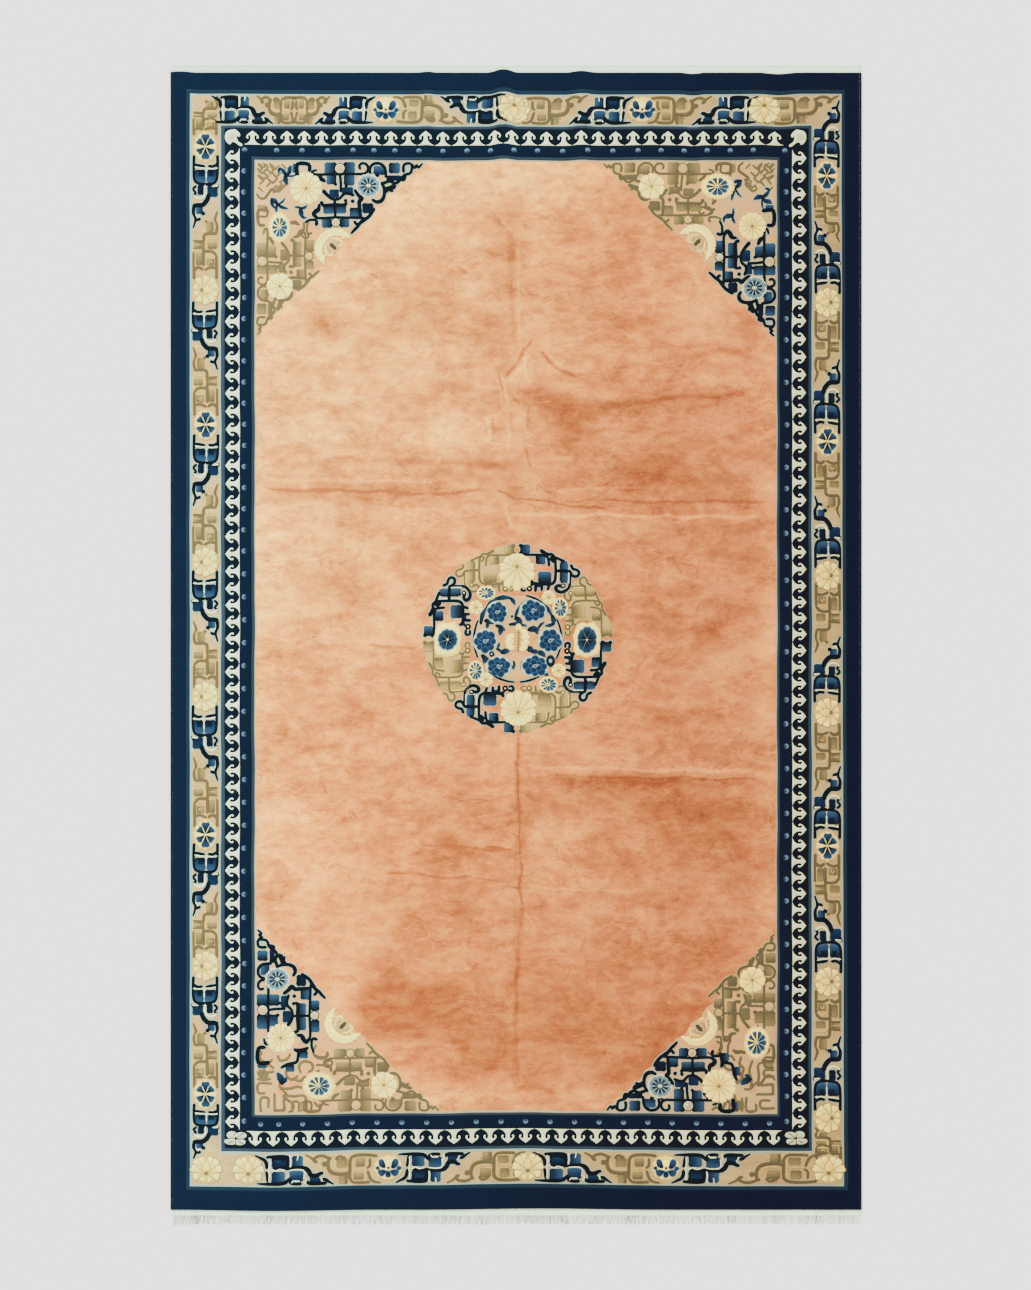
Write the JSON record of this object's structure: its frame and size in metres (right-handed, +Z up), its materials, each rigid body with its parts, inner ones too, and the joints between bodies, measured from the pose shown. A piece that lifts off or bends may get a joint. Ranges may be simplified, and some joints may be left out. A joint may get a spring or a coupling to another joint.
{
  "type": "carpet",
  "caption": "Flat hand-knotted wool carpet with a round medallion, corner designs and borders, overcast sides, a clipped woven end and a fringed end.",
  "frame": {"origin": "on the floor, below the middle of the whole carpet, woven ends and fringe included", "axes": "+Y along the length towards the clipped woven end, +X across the width, +Z up out of the pile"},
  "size_m": [2.74, 4.598, 0.0221],
  "materials": {
    "wool_pile": "cut wool pile, salmon field with navy, blue, tan and cream",
    "navy_yarn": "overcast wool yarn",
    "cotton_warp": "flat-woven undyed cotton and loose warp strands"
  },
  "bodies": {
    "root": {"carpet": "wool_pile", "side_cord_left": "navy_yarn", "side_cord_right": "navy_yarn", "woven_end_top": "cotton_warp", "woven_end_fringe": "cotton_warp"}
  },
  "joints": []
}
